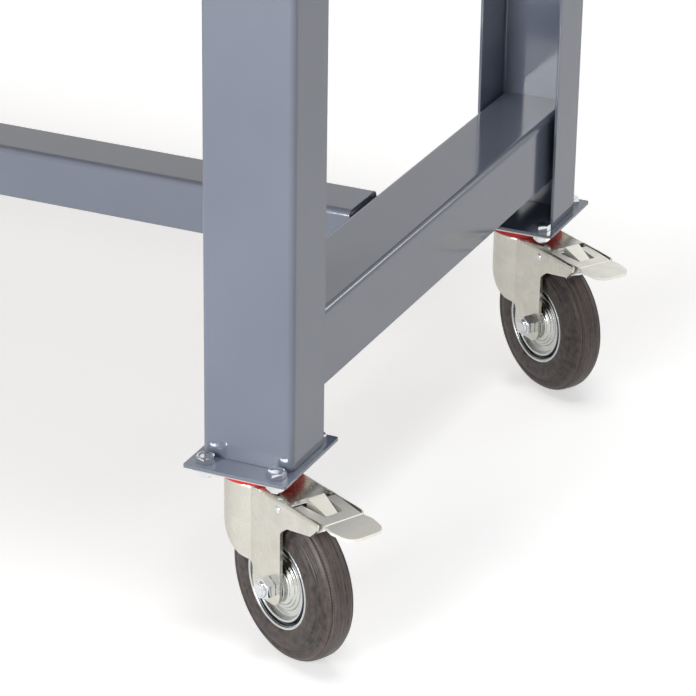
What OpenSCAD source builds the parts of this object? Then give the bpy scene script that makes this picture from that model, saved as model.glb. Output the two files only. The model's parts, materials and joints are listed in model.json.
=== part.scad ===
// Mobile workbench: a thick beech worktop on a welded sheet steel frame of open channels.
// Two braked swivel casters carry the right end and two fixed casters carry the left end.
// X runs along the bench, Y to the back and Z up; the origin is on the floor under its middle.

/* [Bench] */
// Length of the worktop
bench_l = 1500; // [1100:10:2000]
// Depth of the worktop
bench_d = 700; // [700:10:900]
// Height of the worktop's upper face above the floor
bench_h = 850; // [700:5:1000]
// Thickness of the worktop
top_t = 40; // [25:1:60]
// Corner radius of the worktop
top_r = 6; // [2:1:20]
// Depth of the frame over its foot plates
frame_d = 614; // [560:1:680]
// Overhang of the worktop past the foot plates at each end
end_over = 85; // [85:1:150]

/* [Sheet steel frame] */
// Thickness of the channels' sheet
sheet = 2.5; // [2:0.1:3]
// Outer radius of the channels' bends
bend_r = 5; // [4:0.5:7]
// Width of a leg's web
leg_w = 73; // [66:1:80]
// Depth of a leg's flanges
leg_f = 54; // [40:1:55]
// Height of the cross rails
rail_h = 60; // [45:1:70]
// Set-back of a cross rail from the leg's outer face
rail_set = 9.5; // [6:0.5:14]
// Height of the lower rails' upper face above the foot plates
rail_rise = 98; // [85:1:200]
// Width of the long beams
beam_w = 53; // [48:1:60]
// Height of the long beams
beam_h = 43; // [36:1:48]
// Distance of the stringer's front face from the front edge of the frame
stringer_y = 277; // [200:1:330]
// Slit between a beam's end and the cross rail
beam_slit = 3; // [2:0.5:5]
// Gap between a leg's flange and the upper beam beside it
beam_inset = 5; // [3:1:30]
// Thickness of the plates that close the beams' ends
end_plate_t = 5; // [4:0.5:8]

/* [Foot plates] */
// Width of a foot plate along the bench
plate_w = 83; // [83:1:90]
// Depth of a foot plate across the bench
plate_d = 91; // [90:1:100]
// Thickness of a foot plate
plate_t = 2.5; // [2:0.5:6]
// Overhang of a foot plate past the leg's outer side
plate_side = 5; // [4:0.5:6]
// Overhang of a foot plate past the leg's web
plate_front = 21.5; // [21:0.5:26]
// Bolt spacing along the bench
bolt_sx = 57; // [55:0.5:57.5]
// Bolt spacing across the bench
bolt_sy = 68; // [67:0.5:70]
// Diameter of the bolt holes
hole_d = 9; // [8.5:0.1:9.5]

/* [Caster] */
// Height from the floor to the underside of the foot plates
caster_h = 148.5; // [147.5:0.5:160]
// Diameter of the wheels
wheel_d = 125; // [124:0.5:126]
// Greatest width of a tyre
tyre_w = 32; // [30:0.5:34]
// Distance of the axle behind the swivel axis
trail = 40; // [38:0.5:42]
// Thickness of the caster's pressed sheet
zinc_t = 2.5; // [2:0.1:2.7]
// Width of a caster's top plate
cap_w = 77; // [74:1:79]
// Depth of a caster's top plate
cap_d = 85; // [84:1:88]
// Outer radius of the fork's pressed edges
fold_r = 5; // [4:0.1:5.5]
// Clear width between the fork's cheeks
fork_in = 38; // [37.5:0.5:41]
// Outer radius of the fork's bell
bell_r = 27.4; // [26.5:0.1:28.5]
// Outer radius of the red seal ring
seal_r = 33; // [31:0.5:34]
// Height of the swivel bearing between top plate and fork
race_h = 8; // [7:0.1:9]
// Direction in which the front swivel caster trails
front_turn = -28; // [-60:1:60]
// Direction in which the back swivel caster trails
back_turn = -32; // [-60:1:60]
// Radius of the kingpin
king_r = 6; // [5:0.1:7]
// Diameter of the balls in the swivel bearing
ball_d = 5; // [4:0.1:5]
// Number of balls in the swivel bearing
balls = 20; // [12:1:22]
// Radius of the ring on which the balls run
ball_r = 19; // [18:0.1:19.2]

/* [Brake] */
// Distance of the brake's pivot behind the swivel axis
pivot_x = 49.3; // [48:0.1:52]
// Drop of the brake's pivot under the fork's crown
pivot_drop = 8.7; // [8:0.1:9.5]
// Radius of the brake's pin
pin_r = 2.5; // [2:0.1:3]
// Angle that the pedal turns through from free to locked
pedal_press = 14; // [8:1:15]
// Reach of the pedal's toe behind the swivel axis
pedal_reach = 129; // [118:1:135]
// Width of the pedal's toe
toe_w = 37; // [30:0.5:40]
// Length of the pedal's face from the front end of its arms to the fold before the toe
face_l = 35.5; // [32:0.5:38]
// Rise of the pedal's release tongue over the pedal's face
tongue_rise = 5.5; // [2:0.5:6]
// Width of the release tongue at its tip
tongue_w = 14.8; // [12:0.1:17]
// Width of the gap between the pedal's arms at its wide end
window_w = 22; // [20:0.1:24]

/* [Wheel] */
// Radius of the steel rim over its lip
rim_r = 35.6; // [34:0.1:38]
// Distance between the outer faces of the rim's lips
rim_w = 30.2; // [28:0.1:30.4]
// Length of the hub
hub_l = 37; // [35:0.1:37.2]
// Radius of the axle bolt
axle_r = 5; // [4:0.1:5.2]
// Depth of the tyre's grooves
groove = 1.2; // [0.6:0.1:2]

/* [Fasteners] */
// Diameter of the frame and caster bolts
bolt_d = 8; // [6:0.5:8]
// Width across flats of the frame and caster bolts
bolt_af = 13; // [11:0.5:13]
// Height of the bolts' heads
head_h = 5.3; // [4:0.1:6]
// Height of the lock nuts
nut_h = 6.2; // [4.8:0.1:6.6]
// Width across flats of the axle nut and head
axle_af = 17; // [14:0.5:17]
// Height of the axle bolt's head
axle_head_h = 6.4; // [5:0.1:8]
// Height of the axle's lock nut
axle_nut_h = 10; // [8:0.5:11]
// Diameter of the worktop screws
screw_d = 6; // [5:0.5:7]
// Depth to which the screws enter the worktop
screw_in = 28; // [15:1:32]

/* [Hidden] */
$fn = 64;

// Clearances: running fit, gap between bodies and slack of a bolt or screw in its thread
run_fit = 0.05;
body_gap = 0.3;
thread_gap = 0.05;
arc_steps = 8;

// Paint and metal colours
enamel = "#7f8b9b";
zinc = "#d6d3cb";
bright = "#c9ccd0";
rubber = "#4a4140";
seal_red = "#b03030";
beech = "#d8b483";

// Levels from the floor up
foot_z = caster_h + plate_t;
rail_z = foot_z + rail_rise;
under_top = bench_h - top_t;
cap_z = caster_h - zinc_t;
crown_z = cap_z - race_h;
wheel_r = wheel_d / 2;

// Places along and across the bench, for the right end and the front side
plate_x = bench_l / 2 - end_over;
leg_x = plate_x - plate_side - leg_w;
rail_in_x = leg_x + sheet;
rail_out_x = plate_x - plate_side - rail_set;
web_y = -frame_d / 2 + plate_front;
caster_x = plate_x - plate_w / 2;
caster_y = frame_d / 2 - plate_d / 2;
beam_end_x = rail_in_x - beam_slit;
stringer_mid_y = -frame_d / 2 + stringer_y + beam_w / 2;
beam_mid_y = web_y + leg_f + beam_inset + beam_w / 2;
beam_mids = [[stringer_mid_y, rail_z], [beam_mid_y, under_top], [-beam_mid_y, under_top]];
beam_bolt_sy = beam_w / 2;

// Fork, with X behind the swivel axis: faces of the cheeks, ends of the bell and of the crown
cheek_y = fork_in / 2;
cheek_out = cheek_y + zinc_t;
bell_cut_x = sqrt(bell_r * bell_r - cheek_out * cheek_out);
bell_low_z = crown_z - 8;
strut_in_x = bell_cut_x + 2;
strut_out_x = trail + 12.7;
ear_r = 13.5;
crown_x = pivot_x + 10.7;
flat_y = cheek_out - fold_r + 0.5;

// Brake: pivot, face, fold and the walls that stand between the cheeks
pivot_z = crown_z - pivot_drop;
pedal_y = cheek_y - body_gap;
face_x = crown_x + 4.5;
face_z = crown_z - 1.8;
toe_x = face_x + face_l;
arm_x = toe_x - 3;
window_x = toe_x - 11.5;
tongue_x = face_x + 1.5;
taper = 0.11;
shoe_z = crown_z - 15;

// Wheel: radii of the sleeve round the axle bolt and of the rim's bore
sleeve_r = axle_r + 2.5;
hub_bore = sleeve_r + 3.5;

// Outline with rounded corners: each point is [x, y, radius]
function unit(v) = v / norm(v);
function flat(p) = [p[0], p[1]];
function arc(a, b, c, r) =
    let (u = unit(a - b), v = unit(c - b), half = acos(u * v) / 2)
    let (mid = b + unit(u + v) * r / sin(half), p = b + u * r / tan(half), q = b + v * r / tan(half))
    let (from = atan2(p[1] - mid[1], p[0] - mid[0]), to = atan2(q[1] - mid[1], q[0] - mid[0]))
    let (turn = (to - from + 540) % 360 - 180)
    [for (i = [0:arc_steps]) let (t = from + turn * i / arc_steps) mid + r * [cos(t), sin(t)]];
function rounded(p) =
    let (n = len(p))
    [for (i = [0:n - 1])
        each p[i][2] > 0
            ? arc(flat(p[(i + n - 1) % n]), flat(p[i]), flat(p[(i + 1) % n]), p[i][2])
            : [flat(p[i])]];

// Channel section: the web's outer face lies on the X axis and the flanges run towards +Y
module channel_section(w, f, t, r) {
    polygon(rounded([
        [0, f, 0], [0, 0, r], [w, 0, r], [w, f, 0],
        [w - t, f, 0], [w - t, t, r - t], [t, t, r - t], [t, f, 0]
    ]));
}

// Plate outline centred on the origin, with rounded corners
module plate_section(w, d, r) {
    polygon(rounded([[-w / 2, -d / 2, r], [w / 2, -d / 2, r], [w / 2, d / 2, r], [-w / 2, d / 2, r]]));
}

// Stands a drawing of the X and Z axes up and gives it a thickness from Y = y0 to y1
module side_view(y0, y1) {
    translate([0, y1, 0]) rotate([90, 0, 0]) linear_extrude(y1 - y0) children();
}

// Turns a ring section drawn as [radius, y] about the Y axis
module about_y() {
    rotate([-90, 0, 0]) rotate_extrude($fn = 96) children();
}

// Copies for the right or left end and the front or back side, each by mirroring
module end_side(end, side) {
    mirror([end < 0 ? 1 : 0, 0, 0]) mirror([0, side > 0 ? 1 : 0, 0]) children();
}

// Hexagonal prism with its rim bevelled at the end away from its seat
module hex_prism(af, h) {
    intersection() {
        cylinder(r = af / 2 / cos(30), h = h, $fn = 6);
        union() {
            cylinder(r = af / 2 / cos(30) + 0.01, h = h - af * 0.06);
            translate([0, 0, h - af * 0.06])
                cylinder(r1 = af / 2 / cos(30) + 0.01, r2 = af * 0.47, h = af * 0.06);
        }
    }
}

// Bolt with its head's seat at the origin, its head upwards and its shank downwards
module hex_bolt(d, grip, af, h) {
    hex_prism(af, h);
    translate([0, 0, -grip]) cylinder(d = d, h = grip + h / 2);
}

// Lock nut on its seat at the origin: a hexagon with a round collar that holds the locking ring
module lock_nut(d, af, h) {
    difference() {
        union() {
            hex_prism(af, h * 0.72);
            cylinder(r = af * 0.42, h = h - 0.5);
            translate([0, 0, h - 0.5]) cylinder(r1 = af * 0.42, r2 = af * 0.39, h = 0.5);
        }
        translate([0, 0, -1]) cylinder(r = d / 2 + thread_gap, h = h + 2);
    }
}

// Worktop and frame

module worktop() {
    color(beech) difference() {
        translate([0, 0, under_top]) linear_extrude(top_t) plate_section(bench_l, bench_d, top_r);
        at_screws() cylinder(r = screw_d / 2 + thread_gap, h = screw_in + 1);
    }
}

// The screws stand in the upper rails and the upper beams, on the worktop's underside
module at_screws() {
    for (end = [-1, 1], y = [-1, 0, 1])
        translate([end * (rail_in_x + rail_out_x) / 2, y * frame_d * 0.27, under_top]) children();
    for (x = [-1, 1], y = [-1, 1])
        translate([x * bench_l * 0.2, y * beam_mid_y, under_top]) children();
}

module worktop_screws() {
    color(bright) at_screws() {
        translate([0, 0, -sheet]) cylinder(d = screw_d, h = sheet + screw_in);
        difference() {
            translate([0, 0, -sheet - screw_d * 0.6]) cylinder(d = screw_d * 2, h = screw_d * 0.6);
            translate([0, 0, -sheet - screw_d * 0.6 - 1])
                cylinder(d = screw_d * 0.8, h = screw_d * 0.3 + 1, $fn = 6);
        }
    }
}

module leg() {
    color(enamel) translate([leg_x, web_y, foot_z])
        linear_extrude(under_top - foot_z) channel_section(leg_w, leg_f, sheet, bend_r);
}

module foot_plate() {
    color(enamel) translate([caster_x, -caster_y, caster_h]) difference() {
        linear_extrude(plate_t) plate_section(plate_w, plate_d, 2);
        at_plate_holes() translate([0, 0, -1]) cylinder(d = hole_d, h = plate_t + 2);
    }
}

module at_plate_holes() {
    for (x = [-1, 1], y = [-1, 1]) translate([x * bolt_sx / 2, y * bolt_sy / 2, 0]) children();
}

// Cross rail: a channel with its web on top, welded between the webs of two legs
module cross_rail(top_z) {
    w = rail_out_x - rail_in_x;
    half = -web_y - sheet;
    clip = (bend_r - sheet + body_gap) * sqrt(2);
    difference() {
        translate([rail_in_x, half, top_z]) rotate([90, 0, 0]) linear_extrude(half * 2)
            mirror([0, 1]) channel_section(w, rail_h, sheet, bend_r);
        // Both inner corners are clipped to clear the bends inside the legs
        for (y = [-half, half]) translate([rail_in_x, y, top_z]) rotate([0, 0, 45])
            cube([clip, clip, rail_h * 3], center = true);
    }
}

module lower_rail() {
    color(enamel) difference() {
        cross_rail(rail_z);
        at_beam_bolts([0]) bolt_way();
    }
}

module upper_rail() {
    color(enamel) difference() {
        cross_rail(under_top);
        at_beam_bolts([1, 2]) bolt_way();
        at_screws() translate([0, 0, -sheet - 1]) cylinder(r = screw_d / 2 + 0.3, h = sheet + 2);
    }
}

// Bolt places of the right end, on the rail's inner wall, with Z along the bolt to the right
module at_beam_bolts(which) {
    for (i = which, y = [-1, 1])
        translate([rail_in_x, beam_mids[i][0] + y * beam_bolt_sy / 2, beam_mids[i][1] - beam_h / 2])
            rotate([0, 90, 0]) children();
}

module bolt_way() {
    translate([0, 0, -end_plate_t - 1]) cylinder(d = hole_d, h = end_plate_t + sheet + 2);
}

// Long beam: a channel with its web on top that ends short of the cross rails
module long_beam(i) {
    color(enamel) difference() {
        translate([-beam_end_x, beam_mids[i][0], beam_mids[i][1]]) rotate([90, 0, 90])
            linear_extrude(beam_end_x * 2) translate([-beam_w / 2, 0]) mirror([0, 1])
                channel_section(beam_w, beam_h, sheet, bend_r + 1);
        if (i > 0) at_screws() translate([0, 0, -sheet - 1]) cylinder(r = screw_d / 2 + 0.3, h = sheet + 2);
    }
}

// The end plates stand inside the beams' ends, against the cross rails' inner walls
module beam_end_plates() {
    color(enamel) for (end = [-1, 1]) end_side(end, -1) difference() {
        for (m = beam_mids)
            translate([rail_in_x - end_plate_t, m[0] - beam_w / 2 + sheet, m[1] - beam_h])
                cube([end_plate_t, beam_w - sheet * 2, beam_h - bend_r - 1]);
        at_beam_bolts([0, 1, 2]) bolt_way();
    }
}

module frame_bolts() {
    color(bright) for (end = [-1, 1]) end_side(end, -1) at_beam_bolts([0, 1, 2])
        translate([0, 0, sheet]) hex_bolt(bolt_d, sheet + end_plate_t + nut_h + 1, bolt_af, head_h);
}

module frame_nuts() {
    color(bright) for (end = [-1, 1]) end_side(end, -1) at_beam_bolts([0, 1, 2])
        translate([0, 0, -end_plate_t]) mirror([0, 0, 1]) lock_nut(bolt_d, bolt_af, nut_h);
}

// Caster fasteners

module at_casters() {
    for (x = [-1, 1], y = [-1, 1]) translate([x * caster_x, y * caster_y, 0]) children();
}

module caster_bolts() {
    color(bright) at_casters() at_plate_holes() translate([0, 0, foot_z])
        hex_bolt(bolt_d, plate_t + zinc_t + nut_h + body_gap, bolt_af, head_h);
}

module caster_nuts() {
    color(bright) at_casters() at_plate_holes() translate([0, 0, cap_z]) mirror([0, 0, 1])
        lock_nut(bolt_d, bolt_af, nut_h);
}

// Places of the casters, with the wheel trailing along the local X axis
module at_swivel(i) {
    translate([caster_x, i * caster_y, 0]) rotate([0, 0, i < 0 ? front_turn : back_turn]) children();
}

module at_fixed(i) {
    translate([-caster_x, i * caster_y, 0]) children();
}

// Swivel head

module cap_blank() {
    difference() {
        translate([0, 0, cap_z]) linear_extrude(zinc_t) plate_section(cap_w, cap_d, 6);
        at_plate_holes() translate([0, 0, cap_z - 1]) cylinder(d = hole_d, h = zinc_t + 2);
    }
}

// Swivel top plate with the pressed ring on which the balls run
module top_plate(i) {
    ring_z = crown_z + ball_d + 0.2;
    color(zinc) translate([caster_x, i * caster_y, 0]) difference() {
        union() {
            cap_blank();
            translate([0, 0, ring_z]) cylinder(r = ball_r + ball_d, h = cap_z - ring_z + 0.5);
        }
        translate([0, 0, ring_z - 1]) cylinder(r = king_r + thread_gap, h = caster_h);
        translate([0, 0, cap_z])
            cylinder(r1 = king_r + thread_gap, r2 = king_r + zinc_t + thread_gap, h = zinc_t);
        translate([0, 0, ring_z - 1]) cylinder(r = ball_r - ball_d, h = cap_z - ring_z + 1);
    }
}

// Kingpins: riveted flush into the top plates, with a flange under the fork's crown
module kingpins() {
    flange_z = crown_z - zinc_t - body_gap;
    color(bright) for (i = [-1, 1]) translate([caster_x, i * caster_y, 0]) {
        translate([0, 0, flange_z - 2]) cylinder(r = king_r, h = caster_h - flange_z + 2);
        translate([0, 0, cap_z]) cylinder(r1 = king_r, r2 = king_r + zinc_t, h = zinc_t);
        translate([0, 0, flange_z - 3]) cylinder(r1 = king_r + 4, r2 = king_r * 2.1, h = 3);
    }
}

// Red seal: a flat foot on the crown and a wall that shields the balls
module seal_ring(i) {
    color(seal_red) at_swivel(i) translate([0, 0, crown_z]) rotate_extrude($fn = 96) polygon(rounded([
        [ball_r + ball_d / 2 + 0.5, 0, 0], [seal_r, 0, 0.8], [seal_r - 0.6, race_h - body_gap, 0.8],
        [seal_r - 3.2, race_h - body_gap, 0.8], [seal_r - 3, 1.4, 0.6], [ball_r + ball_d / 2 + 0.5, 1.4, 0]
    ]));
}

// Balls in their cage ring
module ball_race(i) {
    mid_z = crown_z + 0.1 + ball_d / 2;
    color(bright) at_swivel(i) translate([0, 0, mid_z]) {
        rotate_extrude() translate([ball_r - 1.2, -0.7]) square([2.4, 1.4]);
        for (n = [0:balls - 1]) rotate([0, 0, n * 360 / balls]) translate([ball_r, 0, 0])
            sphere(d = ball_d, $fn = 24);
    }
}

// Fork: a round bell under the crown and two flat cheeks that reach the axle and the brake's pivot

// Cheek seen from the side: the arm above, the strut down to the axle, the bell's swept lower edge
module cheek_outline() {
    low_z = wheel_r + 11.5;
    sweep = [for (t = [72:-8:0]) [
        strut_in_x - (strut_in_x + bell_r) * pow(cos(t), 1.25),
        bell_low_z - (bell_low_z - low_z) * pow(sin(t), 1.25), 0
    ]];
    polygon(rounded(concat([
        [-bell_r, crown_z, 0], [crown_x, crown_z, 0], [arm_x, crown_z - 1.4, 1.5],
        [arm_x - 1.4, crown_z - 7, 4], [arm_x - 8, crown_z - 13.4, 4], [strut_out_x + 8, crown_z - 19.5, 6],
        [strut_out_x, crown_z - 26, 6], [strut_out_x, wheel_r - ear_r, 10],
        [strut_in_x, wheel_r - ear_r, 11], [strut_in_x, low_z, 7]
    ], sweep)));
}

module fork(i) {
    color(zinc) at_swivel(i) difference() {
        union() {
            // Bell with its rounded shoulder, cut to the cheeks' outline
            intersection() {
                rotate_extrude($fn = 96) polygon(rounded([
                    [0, crown_z, 0], [bell_r, crown_z, fold_r], [bell_r, wheel_r, 0],
                    [bell_r - zinc_t, wheel_r, 0], [bell_r - zinc_t, crown_z - zinc_t, fold_r - zinc_t],
                    [0, crown_z - zinc_t, 0]
                ]));
                side_view(-bell_r, bell_r) cheek_outline();
                translate([-bell_r * 2, -bell_r, 0]) cube([bell_r * 2 + bell_cut_x, bell_r * 2, crown_z]);
            }
            // Channel of the crown and both cheeks
            intersection() {
                translate([0, 0, crown_z]) rotate([90, 0, 90]) linear_extrude(arm_x + 2)
                    translate([-cheek_out, 0]) mirror([0, 1])
                        channel_section(cheek_out * 2, crown_z, zinc_t, fold_r);
                side_view(-cheek_out, cheek_out) cheek_outline();
                union() {
                    translate([bell_cut_x - 0.8, -cheek_out, 0]) cube([arm_x, cheek_out * 2, crown_z]);
                    translate([0, -flat_y, 0]) cube([arm_x, flat_y * 2, crown_z]);
                }
            }
        }
        // The crown ends ahead of the pedal's face
        translate([crown_x, -cheek_y, 0]) cube([arm_x, cheek_y * 2, crown_z + 1]);
        translate([0, 0, crown_z - 10]) cylinder(r = king_r + run_fit, h = 20);
        translate([trail, 0, wheel_r]) rotate([90, 0, 0]) cylinder(r = axle_r + 0.1, h = 60, center = true);
        translate([pivot_x, 0, pivot_z]) rotate([90, 0, 0])
            cylinder(r = pin_r + run_fit, h = 60, center = true);
    }
}

// Axle: bolt, nut and the sleeve that they clamp between the cheeks

module at_axle(x) {
    translate([x, 0, wheel_r]) rotate([90, 0, 0]) children();
}

module axle_bolt_at(x) {
    tip = cheek_out + axle_nut_h + 0.4;
    color(bright) at_axle(x) rotate([180, 0, 0]) {
        translate([0, 0, cheek_out]) hex_prism(axle_af, axle_head_h);
        translate([0, 0, -tip]) cylinder(r = axle_r, h = tip + cheek_out + 1);
    }
}

module axle_nut_at(x) {
    color(bright) at_axle(x) translate([0, 0, cheek_out]) lock_nut(axle_r * 2, axle_af, axle_nut_h);
}

module axle_sleeve_at(x) {
    color(bright) at_axle(x) difference() {
        cylinder(r = sleeve_r, h = fork_in, center = true);
        cylinder(r = axle_r + 0.1, h = fork_in + 2, center = true);
    }
}

// Brake: pin, pedal and the curved shoe that meets the tyre when the pedal is down

module brake_pin(i) {
    color(bright) at_swivel(i) translate([pivot_x, 0, pivot_z]) rotate([90, 0, 0]) {
        cylinder(r = pin_r, h = cheek_out * 2 + 0.2, center = true);
        for (s = [0, 180]) rotate([s, 0, 0]) translate([0, 0, cheek_out])
            cylinder(r1 = pin_r + 0.9, r2 = pin_r * 0.7, h = 1.2);
    }
}

// Pedal seen from above: it narrows to the fold and widens again to the rounded toe
module pedal_plan() {
    polygon(rounded([
        [pivot_x - 6, -pedal_y, 0], [face_x + 8.5, -pedal_y, 20], [toe_x, -toe_w / 2 + 2, 4],
        [toe_x + 9, -toe_w / 2, 8], [pedal_reach, -toe_w / 2 + 3, 10], [pedal_reach, toe_w / 2 - 3, 10],
        [toe_x + 9, toe_w / 2, 8], [toe_x, toe_w / 2 - 2, 4], [face_x + 8.5, pedal_y, 20],
        [pivot_x - 6, pedal_y, 0]
    ]));
}

// Outline from above of the gap or the tongue: half as wide as given at x0, and narrower at x1
module tapered_plan(x0, x1, half) {
    end = half - (x1 - x0) * taper;
    polygon([[x0, -half], [x1, -end], [x1, end], [x0, half]]);
}

// Face and toe in one sheet: two arms beside the release tongue, joined behind it
module pedal_face() {
    difference() {
        intersection() {
            translate([face_x, -cheek_y, face_z - zinc_t]) cube([pedal_reach, cheek_y * 2, zinc_t]);
            translate([0, 0, face_z - zinc_t * 2]) linear_extrude(zinc_t * 3) pedal_plan();
        }
        translate([0, 0, face_z - zinc_t * 2]) linear_extrude(zinc_t * 3)
            tapered_plan(face_x - 1, window_x, window_w / 2);
        // Fold line between the face and the toe
        translate([toe_x, 0, face_z]) rotate([0, 45, 0]) cube([1.1, toe_w, 1.1], center = true);
    }
}

// Release tongue: from its root under the face it rises between the arms towards the crown,
// and its sides are drawn down on both sides of the hollow under it
module release_tongue() {
    difference() {
        tongue_wedge(0, 0);
        tongue_wedge(zinc_t - 0.5, zinc_t - 0.5);
    }
}

// Wedge under the tongue's top, lowered by drop and narrower by inset on each side
module tongue_wedge(inset, drop) {
    root_x = window_x + 6;
    root_z = face_z - zinc_t + 0.5;
    intersection() {
        side_view(-cheek_y, cheek_y) polygon([
            [root_x, root_z - drop], [window_x - 1, root_z - drop],
            [tongue_x + 1.2, face_z + tongue_rise - drop],
            [tongue_x - inset, face_z + tongue_rise - 0.5 - drop],
            [tongue_x - inset, root_z - 2 - drop], [root_x, root_z - 2 - drop]
        ]);
        linear_extrude(crown_z * 2) tapered_plan(tongue_x - inset, root_x, tongue_w / 2 - inset);
    }
}

// Pedal: its face and two walls from the face down to the pivot and the shoe
module brake_pedal(i) {
    wall_z = pivot_z + 3;
    color(zinc) at_swivel(i) difference() {
        union() {
            pedal_face();
            release_tongue();
            intersection() {
                side_view(-cheek_y, cheek_y) polygon(rounded([
                    [pivot_x - 5, wall_z, 4], [face_x, wall_z, 1], [face_x + 1, face_z, 1],
                    [toe_x, face_z, 0], [toe_x, face_z - 4, 1], [toe_x - 16, shoe_z, 4],
                    [face_x - 2, shoe_z, 3], [pivot_x - 5, pivot_z - 5, 4]
                ]));
                difference() {
                    linear_extrude(crown_z + 10) pedal_plan();
                    translate([0, -pedal_y + zinc_t, 0])
                        cube([pedal_reach * 2, pedal_y * 2 - zinc_t * 2, crown_z * 2]);
                }
            }
        }
        translate([pivot_x, 0, pivot_z]) rotate([90, 0, 0])
            cylinder(r = pin_r + run_fit, h = 60, center = true);
    }
}

// Shoe: drawn where it meets the tyre, then turned back with the pedal to its free place
module brake_shoe(i) {
    pad_r = wheel_r + 0.5;
    color(bright) at_swivel(i) translate([pivot_x, 0, pivot_z]) rotate([0, -pedal_press, 0])
        translate([trail - pivot_x, 0, wheel_r - pivot_z]) intersection() {
            about_y() translate([pad_r, -pedal_y + zinc_t]) square([3, pedal_y * 2 - zinc_t * 2]);
            side_view(-cheek_y, cheek_y)
                polygon([[0, 0], [wheel_r * 2 * cos(69), wheel_r * 2 * sin(69)],
                    [wheel_r * 2 * cos(52), wheel_r * 2 * sin(52)]]);
        }
}

// Wheel

module tyre() {
    half = tyre_w / 2;
    lip = rim_w / 2;
    seat = rim_r - 2.5;
    color(rubber) difference() {
        about_y() polygon(rounded([
            [seat, -lip + 1.8, 0], [rim_r + 0.1, -lip + 1.8, 0], [rim_r + 0.1, -lip, 0.3],
            [rim_r + 4, -half, 3], [rim_r + 12, -half + 0.5, 0], [rim_r + 12.6, -half + 1.3, 0],
            [wheel_r - 10, -half + 3, 0.5], [wheel_r, -half + 3, 9.5], [wheel_r, half - 3, 9.5],
            [wheel_r - 10, half - 3, 0.5], [rim_r + 12.6, half - 1.3, 0], [rim_r + 12, half - 0.5, 0],
            [rim_r + 4, half, 3], [rim_r + 0.1, lip, 0.3], [rim_r + 0.1, lip - 1.8, 0], [seat, lip - 1.8, 0]
        ]));
        for (s = [-1, 1]) about_y() translate([wheel_r - 1 - groove, s * half * 0.55 - groove / 2])
            square([groove + 2, groove]);
    }
}

// Pressed rim: the hub, a disc with three pressed steps, a bead, a trough and the lips of the tyre's seat
module rim() {
    lip = rim_w / 2;
    hub = hub_l / 2;
    seat = rim_r - 2.5 - thread_gap;
    function out(k) = hub_bore + 2.5 + (seat - hub_bore - 2.5) * k;
    side = [
        [hub_bore, hub, 0], [hub_bore + 2.5, hub, 0.6], [hub_bore + 2.5, lip - 1.2, 1.2],
        [out(0.22), lip - 1.8, 1.2], [out(0.35), lip - 4, 1.2], [out(0.47), lip - 4.2, 0.6],
        [out(0.51), lip - 5.2, 0.5], [out(0.61), lip - 5.4, 0.5], [out(0.65), lip - 6.4, 0.5],
        [out(0.72), lip - 6.4, 0.8], [out(0.79), lip - 3.4, 0.9], [out(0.88), lip - 3.4, 0.9],
        [out(0.925), lip - 5.6, 0.3], [out(0.97), lip - 5.6, 0.3], [seat + 0.6, lip, 0.8],
        [rim_r, lip, 0.4], [rim_r, lip - 1.6, 0], [seat, lip - 1.6, 0]
    ];
    other = [for (n = [len(side) - 1:-1:0]) [side[n][0], -side[n][1], side[n][2]]];
    color(bright) about_y() polygon(rounded(concat(side, other)));
}

// Roller bearing: rollers in their cage, drawn as one sleeve with a roller row round it
module bearing() {
    color(bright) difference() {
        union() {
            about_y() translate([sleeve_r + run_fit, -hub_l / 2 + 1])
                square([hub_bore - sleeve_r - run_fit - 0.8, hub_l - 2]);
            for (n = [0:11]) rotate([0, n * 30, 0]) translate([hub_bore - 1.4, 0, 0]) rotate([90, 0, 0])
                cylinder(r = 1.35, h = hub_l - 6, center = true, $fn = 24);
        }
        rotate([90, 0, 0]) cylinder(r = sleeve_r + run_fit, h = hub_l + 2, center = true);
    }
}

module right_wheel(i) {
    at_swivel(i) translate([trail, 0, wheel_r]) children();
}

module left_wheel(i) {
    at_fixed(i) translate([0, 0, wheel_r]) children();
}

// Fixed caster: top plate and two cheeks in one pressing, with the axle under its middle
module fixed_fork(i) {
    color(zinc) at_fixed(i) difference() {
        union() {
            cap_blank();
            intersection() {
                translate([-cap_w / 2, 0, caster_h]) rotate([90, 0, 90]) linear_extrude(cap_w)
                    translate([-cheek_out, 0]) mirror([0, 1])
                        channel_section(cheek_out * 2, caster_h, zinc_t, 4);
                side_view(-cheek_out, cheek_out) polygon(rounded([
                    [-cap_w / 2 + 5, caster_h, 0], [-cap_w / 2 + 5, cap_z - 8, 6], [-ear_r, wheel_r + 18, 20],
                    [-ear_r, wheel_r - ear_r, 11], [ear_r, wheel_r - ear_r, 11], [ear_r, wheel_r + 18, 20],
                    [cap_w / 2 - 5, cap_z - 8, 6], [cap_w / 2 - 5, caster_h, 0]
                ]));
            }
        }
        at_axle(0) cylinder(r = axle_r + 0.1, h = 60, center = true);
    }
}

worktop();
worktop_screws();
end_side(1, -1) leg();  // leg_front_right
end_side(1, 1) leg();  // leg_back_right
end_side(-1, -1) leg();  // leg_front_left
end_side(-1, 1) leg();  // leg_back_left
end_side(1, -1) foot_plate();  // foot_plate_front_right
end_side(1, 1) foot_plate();  // foot_plate_back_right
end_side(-1, -1) foot_plate();  // foot_plate_front_left
end_side(-1, 1) foot_plate();  // foot_plate_back_left
lower_rail();  // lower_rail_right
end_side(-1, -1) lower_rail();  // lower_rail_left
upper_rail();  // upper_rail_right
end_side(-1, -1) upper_rail();  // upper_rail_left
long_beam(0);  // stringer
long_beam(1);  // beam_front
long_beam(2);  // beam_back
beam_end_plates();
frame_bolts();
frame_nuts();
caster_bolts();
caster_nuts();
top_plate(-1);  // top_plate_front
top_plate(1);  // top_plate_back
kingpins();
seal_ring(-1);  // seal_ring_front
ball_race(-1);  // ball_race_front
fork(-1);  // fork_front
at_swivel(-1) axle_bolt_at(trail);  // axle_bolt_front
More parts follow.
